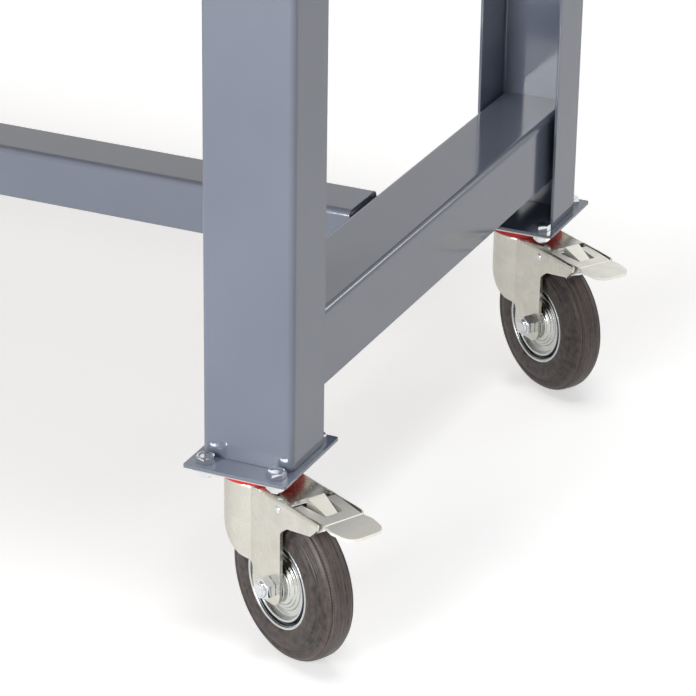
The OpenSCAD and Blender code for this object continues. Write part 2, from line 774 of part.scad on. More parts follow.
at_swivel(-1) axle_nut_at(trail);  // axle_nut_front
at_swivel(-1) axle_sleeve_at(trail);  // axle_sleeve_front
brake_pin(-1);  // brake_pin_front
brake_pedal(-1);  // brake_pedal_front
brake_shoe(-1);  // brake_shoe_front
seal_ring(1);  // seal_ring_back
ball_race(1);  // ball_race_back
fork(1);  // fork_back
at_swivel(1) axle_bolt_at(trail);  // axle_bolt_back
at_swivel(1) axle_nut_at(trail);  // axle_nut_back
at_swivel(1) axle_sleeve_at(trail);  // axle_sleeve_back
brake_pin(1);  // brake_pin_back
brake_pedal(1);  // brake_pedal_back
brake_shoe(1);  // brake_shoe_back
right_wheel(-1) tyre();  // tyre_front_right
right_wheel(-1) rim();  // rim_front_right
right_wheel(-1) bearing();  // bearing_front_right
right_wheel(1) tyre();  // tyre_back_right
right_wheel(1) rim();  // rim_back_right
right_wheel(1) bearing();  // bearing_back_right
left_wheel(-1) tyre();  // tyre_front_left
left_wheel(-1) rim();  // rim_front_left
left_wheel(-1) bearing();  // bearing_front_left
left_wheel(1) tyre();  // tyre_back_left
left_wheel(1) rim();  // rim_back_left
left_wheel(1) bearing();  // bearing_back_left
fixed_fork(-1);  // fixed_fork_front
fixed_fork(1);  // fixed_fork_back
for (i = [-1, 1]) at_fixed(i) axle_bolt_at(0);  // fixed_axle_bolts
for (i = [-1, 1]) at_fixed(i) axle_nut_at(0);  // fixed_axle_nuts
for (i = [-1, 1]) at_fixed(i) axle_sleeve_at(0);  // fixed_axle_sleeves
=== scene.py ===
"""Dresses the mobile workbench: a beech top on an enamelled channel frame with zinc plated casters.

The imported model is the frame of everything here. Lengths are in metres, and sizes written in
millimetres are multiplied by MM.
"""

import json
import logging
import math
from dataclasses import dataclass
from enum import Enum

import bpy
import numpy as np
from mathutils import Matrix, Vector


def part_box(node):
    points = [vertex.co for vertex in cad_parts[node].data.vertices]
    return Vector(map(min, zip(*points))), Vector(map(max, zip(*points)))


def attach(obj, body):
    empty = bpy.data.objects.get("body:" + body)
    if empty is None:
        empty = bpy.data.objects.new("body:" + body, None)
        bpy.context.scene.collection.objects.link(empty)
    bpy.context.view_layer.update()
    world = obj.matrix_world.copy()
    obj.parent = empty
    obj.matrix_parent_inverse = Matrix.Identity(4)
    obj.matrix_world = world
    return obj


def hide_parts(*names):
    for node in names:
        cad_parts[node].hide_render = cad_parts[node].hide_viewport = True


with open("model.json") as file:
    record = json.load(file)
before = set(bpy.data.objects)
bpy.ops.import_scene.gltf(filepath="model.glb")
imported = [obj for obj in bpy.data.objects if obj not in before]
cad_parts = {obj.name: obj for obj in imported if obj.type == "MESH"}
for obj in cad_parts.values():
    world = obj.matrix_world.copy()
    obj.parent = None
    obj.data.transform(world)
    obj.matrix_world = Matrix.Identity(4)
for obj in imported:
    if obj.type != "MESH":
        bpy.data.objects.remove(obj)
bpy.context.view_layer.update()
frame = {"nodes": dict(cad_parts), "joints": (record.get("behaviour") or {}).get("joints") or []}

MM = 0.001
LOG = logging.getLogger("workbench")

Tree = bpy.types.NodeTree
Node = bpy.types.Node
Socket = bpy.types.NodeSocket


def linear(code: str) -> tuple[float, float, float, float]:
    """Turns an sRGB hex colour to linear light.

    Args:
        code: Six hex digits after a hash.

    Returns:
        Red, green, blue and an opaque alpha.
    """
    part = np.array([int(code[i : i + 2], 16) for i in (1, 3, 5)]) / 255
    light = np.where(part <= 0.04045, part / 12.92, ((part + 0.055) / 1.055) ** 2.4)
    return (*(float(c) for c in light), 1.0)


WHITE = linear("#ffffff")

# Most values of a noise lie in this range.
MIDDLE = {"From Min": 0.3, "From Max": 0.7}


def add(tree: Tree, kind: str, sockets: dict | None = None, **settings) -> Node:
    """Adds one node with its settings and links.

    Args:
        tree: The node tree of a material or of the world.
        kind: The node type's name.
        sockets: A plain value or another node's output for each input, by name or number.
        settings: The node's own properties.

    Returns:
        The new node.
    """
    node = tree.nodes.new(kind)
    for name, value in settings.items():
        setattr(node, name, value)
    for key, value in (sockets or {}).items():
        if isinstance(value, Socket):
            tree.links.new(value, node.inputs[key])
        else:
            node.inputs[key].default_value = value
    return node


def pose_of(x: np.ndarray, y: np.ndarray, z: np.ndarray, place: tuple) -> Matrix:
    """Builds a world matrix.

    Args:
        x: Direction of the object's X axis.
        y: Direction of its Y axis.
        z: Direction of its Z axis.
        place: The object's place.

    Returns:
        The matrix.
    """
    turn = np.eye(4)
    turn[:3] = np.column_stack([x, y, z, place])
    return Matrix(turn.tolist())


def rounded(corners: list, steps: int = 6) -> np.ndarray:
    """Rounds the corners of a closed profile.

    Each corner gives way to the arc of its radius that touches both sides: with half the corner's
    angle h, the arc starts r / tan(h) along each side and its middle lies r / sin(h) along the bisector.

    Args:
        corners: Rows of x, y and radius, in order round the profile.
        steps: Spans of each arc.

    Returns:
        The profile's points, without repeated ones.
    """
    rows = np.array(corners, float)
    here, radius = rows[:, :2], rows[:, 2:]
    back = np.roll(here, 1, 0) - here
    ahead = np.roll(here, -1, 0) - here
    back /= np.linalg.norm(back, axis=1, keepdims=True)
    ahead /= np.linalg.norm(ahead, axis=1, keepdims=True)
    half = np.arccos(np.clip((back * ahead).sum(1, keepdims=True), -1, 1)) / 2
    bisector = back + ahead
    bisector /= np.maximum(np.linalg.norm(bisector, axis=1, keepdims=True), 1e-9)
    middle = here + bisector * radius / np.sin(half)
    first = here + back * radius / np.tan(half) - middle
    last = here + ahead * radius / np.tan(half) - middle
    start = np.arctan2(first[:, 1], first[:, 0])
    turn = (np.arctan2(last[:, 1], last[:, 0]) - start + math.pi) % (2 * math.pi) - math.pi
    angle = start[:, None] + turn[:, None] * np.linspace(0, 1, steps + 1)
    arcs = middle[:, None, :] + radius[:, None] * np.stack([np.cos(angle), np.sin(angle)], -1)
    points = arcs.reshape(-1, 2)
    far = np.linalg.norm(points - np.roll(points, 1, 0), axis=1) > 1e-4
    return points[far]


def resample(points: np.ndarray, spacing: float) -> np.ndarray:
    """Spreads points evenly along a closed profile.

    Args:
        points: The profile's points.
        spacing: Wanted distance between the new points.

    Returns:
        The new points, without the first one again at the end.
    """
    path = np.vstack([points, points[:1]])
    length = np.concatenate([[0], np.cumsum(np.linalg.norm(np.diff(path, axis=0), axis=1))])
    along = np.linspace(0, length[-1], int(length[-1] / spacing), endpoint=False)
    return np.stack([np.interp(along, length, path[:, k]) for k in (0, 1)], -1)


def other_side(rows: list) -> list:
    """Mirrors a wheel's profile rows of radius, distance along the axis and bend, in reverse order."""
    return [[radius, -along, bend] for radius, along, bend in rows[::-1]]


def bump_of(value: np.ndarray, middle: float, width: float) -> np.ndarray:
    """Gives a smooth hill from 0 to 1 and back: half a cosine wave of a width round a middle."""
    part = np.clip(np.abs(value - middle) / width, 0, 0.5)
    return 0.5 + 0.5 * np.cos(2 * math.pi * part)


def lathe(profile: np.ndarray, steps: int) -> np.ndarray:
    """Turns a profile about the local Y axis: x = r cos t, y = the distance along, z = r sin t.

    Args:
        profile: Rows of radius and distance along the axis.
        steps: Steps of the full turn.

    Returns:
        A grid of points, first round the axis and then along the profile.
    """
    t = np.linspace(0, 2 * math.pi, steps, endpoint=False)[:, None]
    radius, along = profile[:, 0], np.broadcast_to(profile[:, 1], (steps, len(profile)))
    return np.stack([radius * np.cos(t), along, radius * np.sin(t)], -1)


def hex_radius(angle: np.ndarray, flats: float) -> np.ndarray:
    """Gives a hexagon's radius: half the width across flats over the cosine of the angle from a flat."""
    return flats / 2 / np.cos((angle % (math.pi / 3)) - math.pi / 6)


@dataclass(frozen=True)
class Seat:
    """A place on the model: an origin in metres and the directions of the local X, Y and Z axes."""

    origin: tuple
    x: tuple
    y: tuple
    z: tuple = (0.0, 0.0, 1.0)

    def place(self, points: np.ndarray) -> np.ndarray:
        """Moves local points in millimetres to the model's frame in metres."""
        return points @ np.array([self.x, self.y, self.z]) * MM + np.array(self.origin)


class Shape:
    """Gathers closed surfaces, given as grids of points, into one mesh object.

    Edges sharper than the crease, in degrees, stay hard.
    """

    crease = 32.0

    def __init__(self, name: str) -> None:
        """Starts an empty shape.

        Args:
            name: The object's name.
        """
        self.name = name
        self.points: list[np.ndarray] = []
        self.faces: list[np.ndarray] = []
        self.maps: list[np.ndarray] = []
        self.count = 0

    def grid(self, surface: np.ndarray, closed: bool, seat: Seat) -> None:
        """Adds a surface that runs round in its first parameter.

        Args:
            surface: Points in millimetres, by steps round and steps along.
            closed: Whether the second parameter returns to its start; if not, its ends are poles.
            seat: Where the local points go.
        """
        around, along = surface.shape[:2]
        spans = along if closed else along - 1
        i, j = np.meshgrid(np.arange(around), np.arange(spans), indexing="ij")
        corner = [(i, j), (i + 1, j), (i + 1, j + 1), (i, j + 1)]
        faces = np.stack([(a % around) * along + (b % along) for a, b in corner], -1).reshape(-1, 4)
        chart = np.stack([np.stack([a / around, b / spans], -1) for a, b in corner], -2).reshape(-1, 4, 2)
        points = seat.place(surface.reshape(-1, 3))
        a, b, c, d = (points[faces[:, k]] - points.mean(0) for k in range(4))
        volume = np.einsum("ij,ij->", a, np.cross(b, c)) + np.einsum("ij,ij->", a, np.cross(c, d))
        # Faces that enclose a negative volume look inwards.
        if volume < 0:
            faces, chart = faces[:, ::-1], chart[:, ::-1]
        self.points.append(points)
        self.faces.append(faces + self.count)
        self.maps.append(chart)
        self.count += len(points)

    def mesh(self) -> bpy.types.Mesh:
        """Joins the surfaces into one smooth mesh that keeps their maps.

        Returns:
            The mesh.
        """
        points, same = np.unique(np.round(np.vstack(self.points), 7), axis=0, return_inverse=True)
        faces = same.reshape(-1)[np.vstack(self.faces)]
        chart = np.vstack(self.maps)
        # A face at a pole has two corners in one place and becomes a triangle.
        apart = faces != np.roll(faces, 1, 1)
        whole = apart.all(1)
        three = apart.sum(1) == 3
        corners = np.concatenate([faces[whole].ravel(), faces[three][apart[three]]])
        chart = np.concatenate([chart[whole].reshape(-1, 2), chart[three][apart[three]]])
        sizes = np.concatenate([np.full(whole.sum(), 4), np.full(three.sum(), 3)])
        mesh = bpy.data.meshes.new(self.name)
        mesh.vertices.add(len(points))
        mesh.vertices.foreach_set("co", points.astype(np.float32).ravel())
        mesh.loops.add(len(corners))
        mesh.loops.foreach_set("vertex_index", corners.astype(np.int32))
        mesh.polygons.add(len(sizes))
        mesh.polygons.foreach_set("loop_start", (np.cumsum(sizes) - sizes).astype(np.int32))
        mesh.polygons.foreach_set("loop_total", sizes.astype(np.int32))
        mesh.update(calc_edges=True)
        layer = mesh.uv_layers.new(name="wrap")
        layer.data.foreach_set("uv", chart.astype(np.float32).ravel())
        mesh.shade_smooth()
        mesh.set_sharp_from_angle(angle=math.radians(self.crease))
        return mesh

    def build(self, finish: "Finish", body: str, slot: str, replaced: tuple[str, ...]) -> None:
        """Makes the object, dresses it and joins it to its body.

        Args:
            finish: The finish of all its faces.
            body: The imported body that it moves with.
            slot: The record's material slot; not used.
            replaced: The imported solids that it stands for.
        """
        obj = bpy.data.objects.new(self.name, self.mesh())
        bpy.context.scene.collection.objects.link(obj)
        dress(obj, finish)
        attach(obj, body)
        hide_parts(*replaced)
        LOG.info("%s: %d faces", self.name, len(obj.data.polygons))


@dataclass(frozen=True)
class Finish:
    """A surface finish; each kind builds its own shader nodes."""

    name: str

    def material(self) -> bpy.types.Material:
        """Finds the finish's material, or builds it at its first use.

        Returns:
            The material.
        """
        found = bpy.data.materials.get(self.name)
        if found:
            return found
        made = bpy.data.materials.new(self.name)
        made.use_nodes = True
        made.node_tree.nodes.clear()
        shader = self.shade(made.node_tree)
        add(made.node_tree, "ShaderNodeOutputMaterial", {"Surface": shader.outputs[0]})
        return made

    def shade(self, tree: Tree) -> Node:
        """Builds the shader and returns its last node."""
        raise NotImplementedError

    def noise(self, tree: Tree, size: float, detail: float = 2.0, stretch: tuple = (1, 1, 1)) -> Socket:
        """Adds a noise whose blotches are about a real size.

        Args:
            tree: The material's node tree.
            size: Width of one blotch in millimetres.
            detail: Octaves of finer noise.
            stretch: Scale along X, Y and Z, where less than one draws the blotches out.

        Returns:
            The noise's value.
        """
        place = add(tree, "ShaderNodeTexCoord").outputs["Object"]
        turned = add(tree, "ShaderNodeMapping", {"Vector": place, "Scale": stretch})
        sockets = {"Vector": turned.outputs[0], "Scale": 1 / (size * MM), "Detail": detail}
        return add(tree, "ShaderNodeTexNoise", sockets).outputs[0]

    def mottle(self, tree: Tree, value: Socket, low: str, high: str) -> Socket:
        """Mixes two colours by the middle of a noise.

        Args:
            tree: The material's node tree.
            value: The noise's value.
            low: Hex colour where the noise is low.
            high: Hex colour where it is high.

        Returns:
            The mixed colour.
        """
        share = add(tree, "ShaderNodeMapRange", {"Value": value, **MIDDLE}).outputs[0]
        tones = {0: share, 6: linear(low), 7: linear(high)}
        return add(tree, "ShaderNodeMix", tones, data_type="RGBA").outputs[2]

    def relief(self, tree: Tree, size: float, detail: float, depth: float) -> Socket:
        """Raises a noise by a depth; its width and depth are real ones in millimetres."""
        height = self.noise(tree, size, detail)
        return add(tree, "ShaderNodeBump", {"Height": height, "Distance": depth * MM}).outputs[0]


@dataclass(frozen=True)
class Enamel(Finish):
    """Sprayed and baked enamel: a smooth semi-gloss coat with a faint orange peel."""

    colour: str = "#737b8c"
    shade_tone: str = "#6e7687"
    smooth: float = 0.08
    rough: float = 0.13
    drift_mm: float = 90.0
    haze_mm: float = 35.0
    peel_mm: float = 2.2
    peel_depth: float = 0.008
    ior: float = 1.75

    def shade(self, tree: Tree) -> Node:
        """Makes broad tone drift, and a peel that breaks the highlights up a little.

        Args:
            tree: The material's node tree.

        Returns:
            The shader.
        """
        haze = {"Value": self.noise(tree, self.haze_mm, 4), **MIDDLE, "To Min": self.smooth}
        gloss = add(tree, "ShaderNodeMapRange", haze | {"To Max": self.rough}).outputs[0]
        tone = self.mottle(tree, self.noise(tree, self.drift_mm), self.colour, self.shade_tone)
        bump = self.relief(tree, self.peel_mm, 1, self.peel_depth)
        sockets = {"Base Color": tone, "Roughness": gloss, "Normal": bump, "IOR": self.ior}
        return add(tree, "ShaderNodeBsdfPrincipled", sockets)


@dataclass(frozen=True)
class ZincPlate(Finish):
    """Electroplated zinc on pressed sheet steel, with the sheet's fine grain under it.

    `grain` is the grain's depth in millimetres, and `cloud_mm` and `grain_mm` are the widths of one cloud
    and one grain. The grain is drawn coarser than the real one, so that it shows.
    """

    colour: str = "#dad8cf"
    cloud_tone: str = "#cfcdc3"
    smooth: float = 0.22
    rough: float = 0.32
    grain: float = 0.006
    cloud_mm: float = 14.0
    grain_mm: float = 1.1

    def shade(self, tree: Tree) -> Node:
        """Makes clouds where the bath was uneven, and a grain that softens the reflections.

        Args:
            tree: The material's node tree.

        Returns:
            The shader.
        """
        clouds = self.noise(tree, self.cloud_mm, 4)
        dull = {"Value": clouds, **MIDDLE, "To Min": self.smooth, "To Max": self.rough}
        gloss = add(tree, "ShaderNodeMapRange", dull).outputs[0]
        bump = self.relief(tree, self.grain_mm, 3, self.grain)
        sockets = {"Base Color": self.tone(tree, clouds), "Metallic": 1.0, "Roughness": gloss, "Normal": bump}
        return add(tree, "ShaderNodeBsdfPrincipled", sockets)

    def tone(self, tree: Tree, clouds: Socket) -> Socket:
        """Returns the plating's colour where its clouds are thin and thick."""
        return self.mottle(tree, clouds, self.colour, self.cloud_tone)


@dataclass(frozen=True)
class RimZinc(ZincPlate):
    """Bright zinc on a pressed wheel disc, with painted shade: a dark blue band in the trough by the tyre
    stands in for the shade and dark reflections there.

    The trough is its place along the section in the rim's own map, as a share counted from the middle, and
    the reach is half its width.
    """

    # Colour of the painted shade in the trough.
    painted_trough_shade: str = "#3c4454"
    trough: float = 0.126
    reach: float = 0.026

    def tone(self, tree: Tree, clouds: Socket) -> Socket:
        """Paints shade into the plating inside the trough: a dark blue band.

        Args:
            tree: The material's node tree.
            clouds: The noise of the plating's clouds.

        Returns:
            The colour.
        """
        chart = add(tree, "ShaderNodeUVMap", uv_map="wrap").outputs[0]
        along = add(tree, "ShaderNodeSeparateXYZ", {0: chart}).outputs[1]
        signed = add(tree, "ShaderNodeMath", {0: along, 1: 0.5}, operation="SUBTRACT").outputs[0]
        off = add(tree, "ShaderNodeMath", {0: signed}, operation="ABSOLUTE").outputs[0]
        # Painted shade: a dark blue band in the trough stands in for its shade and dark reflections.
        band = {0: off, 1: self.trough, 2: self.reach}
        inside = add(tree, "ShaderNodeMath", band, operation="COMPARE").outputs[0]
        tones = {0: inside, 6: super().tone(tree, clouds), 7: linear(self.painted_trough_shade)}
        return add(tree, "ShaderNodeMix", tones, data_type="RGBA").outputs[2]


@dataclass(frozen=True)
class Rubber(Finish):
    """Moulded solid rubber, dulled by release agent and dust, most of all on the tread.

    The wheel's own map runs once round the tyre and once round its section, whose middle is the tread. The
    section is `girth` long and the tread `round_mm`. The groove and the tread's ends are millimetres along
    the section from its middle. Pores, streaks and ticks are drawn coarser than real ones, so that they show.
    The ticks are painted highlights in the grooves.
    """

    colour: str = "#1e1a19"
    dusty: str = "#554b48"
    # Light colour of the tread's dust, and of the ticks' painted highlights.
    dust_and_glint: str = "#7d716d"
    dust_share: float = 0.8
    smooth: float = 0.34
    rough: float = 0.54
    ior: float = 1.46
    patch_mm: float = 5.0
    pore_mm: float = 0.9
    pore_depth: float = 0.05
    girth: float = 108.0
    round_mm: float = 392.0
    groove: float = 9.1
    tread_full: float = 10.0
    tread_end: float = 15.0
    streak_mm: float = 30.0
    tick_mm: float = 2.4
    tick_half: float = 0.6
    tick_full: float = 0.7

    def shade(self, tree: Tree) -> Node:
        """Lays dust on a brown black: soft patches and streaks along the tread, and painted highlights as
        ticks in its grooves.

        Args:
            tree: The material's node tree.

        Returns:
            The shader.
        """
        patches = self.noise(tree, self.patch_mm, 6)
        tone = self.mottle(tree, patches, self.colour, self.dusty)
        chart = add(tree, "ShaderNodeUVMap", uv_map="wrap").outputs[0]
        turn, along = add(tree, "ShaderNodeSeparateXYZ", {0: chart}).outputs[:2]
        signed = add(tree, "ShaderNodeMath", {0: along, 1: 0.5}, operation="SUBTRACT").outputs[0]
        apart = add(tree, "ShaderNodeMath", {0: signed}, operation="ABSOLUTE").outputs[0]
        off = add(tree, "ShaderNodeMath", {0: apart, 1: self.girth}, operation="MULTIPLY").outputs[0]
        fade = {"Value": off, "From Min": self.tread_end, "From Max": self.tread_full}
        tread = add(tree, "ShaderNodeMapRange", fade).outputs[0]
        lines = {"Value": self.ring_noise(tree, turn, along), **MIDDLE, "To Max": self.dust_share}
        streak = add(tree, "ShaderNodeMapRange", lines).outputs[0]
        worn = add(tree, "ShaderNodeMath", {0: tread, 1: streak}, operation="MULTIPLY").outputs[0]
        # The worn tread gets dust; the ticks get the same light colour as painted highlights.
        for share in (worn, self.ticks(tree, turn, off)):
            tones = {0: share, 6: tone, 7: linear(self.dust_and_glint)}
            tone = add(tree, "ShaderNodeMix", tones, data_type="RGBA").outputs[2]
        dull = {"Value": patches, **MIDDLE, "To Min": self.smooth, "To Max": self.rough}
        gloss = add(tree, "ShaderNodeMapRange", dull).outputs[0]
        bump = self.relief(tree, self.pore_mm, 3, self.pore_depth)
        sockets = {"Base Color": tone, "Roughness": gloss, "Normal": bump, "IOR": self.ior}
        return add(tree, "ShaderNodeBsdfPrincipled", sockets)

    def ring_noise(self, tree: Tree, turn: Socket, along: Socket) -> Socket:
        """Draws noise in streaks 1 mm wide that close without a seam, at the place (cos t, sin t, along).

        Args:
            tree: The material's node tree.
            turn: Share of the turn round the tyre.
            along: Share of the way along its section.

        Returns:
            The noise's value.
        """
        angle = add(tree, "ShaderNodeMath", {0: turn, 1: 2 * math.pi}, operation="MULTIPLY").outputs[0]
        reach = self.round_mm / self.streak_mm / (2 * math.pi)
        waves = [add(tree, "ShaderNodeMath", {0: angle}, operation=kind) for kind in ("COSINE", "SINE")]
        pairs = [{0: wave.outputs[0], 1: reach} for wave in waves]
        x, y = (add(tree, "ShaderNodeMath", pair, operation="MULTIPLY").outputs[0] for pair in pairs)
        z = add(tree, "ShaderNodeMath", {0: along, 1: self.girth}, operation="MULTIPLY").outputs[0]
        place = add(tree, "ShaderNodeCombineXYZ", {0: x, 1: y, 2: z}).outputs[0]
        return add(tree, "ShaderNodeTexNoise", {"Vector": place, "Scale": 1.0, "Detail": 3.0}).outputs[0]

    def ticks(self, tree: Tree, turn: Socket, off: Socket) -> Socket:
        """Marks small light dots in the grooves, evenly spaced: painted highlights that stand in for the
        glints on the mould's knurl teeth.

        Args:
            tree: The material's node tree.
            turn: Share of the turn round the tyre.
            off: Millimetres along the section from its middle.

        Returns:
            One on a dot and zero elsewhere.
        """
        beat = {0: turn, 1: 2 * math.pi * round(self.round_mm / self.tick_mm)}
        angle = add(tree, "ShaderNodeMath", beat, operation="MULTIPLY").outputs[0]
        wave = add(tree, "ShaderNodeMath", {0: angle}, operation="SINE").outputs[0]
        rise = {"Value": wave, "From Min": 0.0, "From Max": self.tick_full}
        dot = add(tree, "ShaderNodeMapRange", rise).outputs[0]
        near = {0: off, 1: self.groove, 2: self.tick_half}
        band = add(tree, "ShaderNodeMath", near, operation="COMPARE").outputs[0]
        return add(tree, "ShaderNodeMath", {0: dot, 1: band}, operation="MULTIPLY").outputs[0]


@dataclass(frozen=True)
class SealPlastic(Finish):
    """Injection moulded polypropylene, waxy and satin, with its grain drawn coarse enough to show."""

    colour: str = "#dc2c30"
    deep: str = "#be2428"
    rough: float = 0.5
    ior: float = 1.42
    flow_mm: float = 6.0
    grain_mm: float = 0.7
    grain: float = 0.01

    def shade(self, tree: Tree) -> Node:
        """Makes slight flow marks in a satin red.

        Args:
            tree: The material's node tree.

        Returns:
            The shader.
        """
        tone = self.mottle(tree, self.noise(tree, self.flow_mm, 3), self.colour, self.deep)
        bump = self.relief(tree, self.grain_mm, 2, self.grain)
        sockets = {"Base Color": tone, "Roughness": self.rough, "Normal": bump, "IOR": self.ior}
        return add(tree, "ShaderNodeBsdfPrincipled", sockets)


@dataclass(frozen=True)
class Beech(Finish):
    """Lacquered beech plywood: rotary cut face veneer, and its plies at the edges.

    Figure and flecks are drawn out along the board by their stretch. A fleck shows where its noise rises
    from `fleck_from` to `fleck_full`. The plies fade out as the surface turns up, from `turn_from` to
    `turn_full` of its normal.
    """

    pale: str = "#dcb88a"
    warm: str = "#c99f6d"
    end_grain: str = "#a9794a"
    ply: float = 2.2
    ply_soft: float = 0.2
    turn_from: float = 0.5
    turn_full: float = 0.6
    figure_mm: float = 55.0
    figure_stretch: tuple[float, float, float] = (0.12, 1.0, 1.0)
    fleck_mm: float = 1.6
    fleck_stretch: tuple[float, float, float] = (0.22, 1.0, 0.22)
    fleck_from: float = 0.6
    fleck_full: float = 0.72
    fleck_depth: float = 0.02
    rough: float = 0.36
    ior: float = 1.5

    def shade(self, tree: Tree) -> Node:
        """Makes long figure and short flecks on the faces, and alternating plies by height.

        Args:
            tree: The material's node tree.

        Returns:
            The shader.
        """
        figure = self.noise(tree, self.figure_mm, 5, self.figure_stretch)
        wood = self.mottle(tree, figure, self.pale, self.warm)
        fleck = self.noise(tree, self.fleck_mm, 2, self.fleck_stretch)
        rise = {"Value": fleck, "From Min": self.fleck_from, "From Max": self.fleck_full}
        spots = add(tree, "ShaderNodeMapRange", rise)
        tones = {0: spots.outputs[0], 6: wood, 7: linear(self.end_grain)}
        flecked = add(tree, "ShaderNodeMix", tones, data_type="RGBA").outputs[2]
        place = add(tree, "ShaderNodeTexCoord").outputs["Object"]
        height = add(tree, "ShaderNodeSeparateXYZ", {0: place}).outputs[2]
        layer = add(tree, "ShaderNodeMath", {0: height, 1: math.pi / (self.ply * MM)}, operation="MULTIPLY")
        wave = add(tree, "ShaderNodeMath", {0: layer.outputs[0]}, operation="SINE").outputs[0]
        swing = {"Value": wave, "From Min": -self.ply_soft, "From Max": self.ply_soft}
        stripe = add(tree, "ShaderNodeMapRange", swing)
        tones = {0: stripe.outputs[0], 6: flecked, 7: linear(self.end_grain)}
        plies = add(tree, "ShaderNodeMix", tones, data_type="RGBA").outputs[2]
        facing = add(tree, "ShaderNodeNewGeometry").outputs["Normal"]
        up = add(tree, "ShaderNodeSeparateXYZ", {0: facing}).outputs[2]
        flat = add(tree, "ShaderNodeMath", {0: up}, operation="ABSOLUTE")
        fade = {"Value": flat.outputs[0], "From Min": self.turn_from, "From Max": self.turn_full}
        level = add(tree, "ShaderNodeMapRange", fade)
        tones = {0: level.outputs[0], 6: plies, 7: flecked}
        tone = add(tree, "ShaderNodeMix", tones, data_type="RGBA").outputs[2]
        pores = {"Height": fleck, "Distance": self.fleck_depth * MM}
        bump = add(tree, "ShaderNodeBump", pores).outputs[0]
        sockets = {"Base Color": tone, "Roughness": self.rough, "Normal": bump, "IOR": self.ior}
        return add(tree, "ShaderNodeBsdfPrincipled", sockets)


class Look(Enum):
    """One finish for each of the record's material slots, and a duller, tumbled zinc for the pedals."""

    ENAMEL = Enamel("baked_grey_blue_enamel")
    CASTER_ZINC = ZincPlate("passivated_zinc_plate")
    PEDAL_ZINC = ZincPlate("tumbled_zinc_plate", "#f4f3ec", "#eae8df", 0.42, 0.54)
    RIM_ZINC = RimZinc("bright_zinc_plate", "#d6d7d3", "#c8cac8", 0.2, 0.28, 0.002)
    FASTENER_ZINC = ZincPlate("fastener_zinc_plate", "#e8eaec", "#d6dadf", 0.04, 0.1, 0.003)
    BEARING_STEEL = ZincPlate("ground_bearing_steel", "#b9bcc0", "#9fa3a8", 0.1, 0.2)
    TYRE_RUBBER = Rubber("moulded_rubber")
    SEAL_PLASTIC = SealPlastic("moulded_polypropylene")
    BEECH = Beech("lacquered_beech_plywood")


def dress(obj: bpy.types.Object, finish: Finish) -> None:
    """Gives an object one finish in every material slot.

    Args:
        obj: The object, whose mesh stays.
        finish: The finish.
    """
    if not obj.material_slots:
        obj.data.materials.append(None)
    for slot in obj.material_slots:
        slot.material = finish.material()


@dataclass(frozen=True)
class Lamp:
    """A square area lamp: its place and the point it looks at, its side in metres and its power in watts."""

    name: str
    place: tuple[float, float, float]
    aim: tuple[float, float, float]
    size: float
    power: float

    def hang(self) -> None:
        """Adds the lamp to the scene."""
        data = bpy.data.lights.new(self.name, "AREA")
        data.size = self.size
        data.energy = self.power
        lamp = bpy.data.objects.new(self.name, data)
        back = np.array(self.place) - np.array(self.aim)
        back /= np.linalg.norm(back)
        side = np.cross([0, 0, 1.0], back)
        side /= np.linalg.norm(side)
        lamp.matrix_world = pose_of(side, np.cross(back, side), back, self.place)
        bpy.context.scene.collection.objects.link(lamp)


